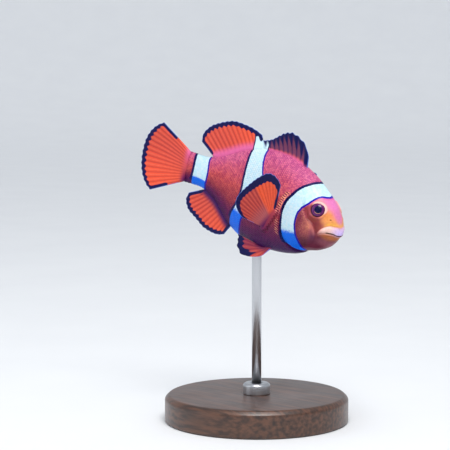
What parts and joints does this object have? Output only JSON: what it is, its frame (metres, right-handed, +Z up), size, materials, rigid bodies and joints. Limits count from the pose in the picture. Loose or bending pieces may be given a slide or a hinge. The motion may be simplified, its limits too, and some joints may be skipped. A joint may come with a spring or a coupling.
{
  "type": "clownfish display model",
  "caption": "Life-size still model of a clownfish, orange with white bars, nose down in a swimming pose on a round base and rod.",
  "frame": {"origin": "centre of the round base's underside, on the floor", "axes": "+Z up, +X towards the fish's nose, +Y towards its left side"},
  "size_m": [0.0703, 0.054, 0.0881],
  "materials": {
    "face_skin": "moist skin, satin gloss",
    "lip_skin": "moist skin, satin gloss",
    "bar_white": "scaled skin, satin gloss",
    "body_skin": "scaled skin, satin gloss",
    "fin_skin": "rayed fin, satin gloss",
    "eye_gloss": "wet gloss",
    "stand_wood": "dark stain, satin lacquer",
    "stand_steel": "satin"
  },
  "bodies": {
    "root": {"head": "face_skin", "lip_upper": "lip_skin", "jaw_lower": "face_skin", "gill_cover_right": "bar_white", "gill_cover_left": "bar_white", "trunk": "body_skin", "tail_stalk": "body_skin", "fin_dorsal_front": "fin_skin", "fin_dorsal_rear": "fin_skin", "fin_anal": "fin_skin", "fin_tail": "fin_skin", "eye_right": "eye_gloss", "fin_pectoral_right": "fin_skin", "fin_pelvic_right": "fin_skin", "eye_left": "eye_gloss", "fin_pectoral_left": "fin_skin", "fin_pelvic_left": "fin_skin", "stand_base": "stand_wood", "stand_collar": "stand_steel", "stand_rod": "stand_steel"}
  },
  "joints": []
}
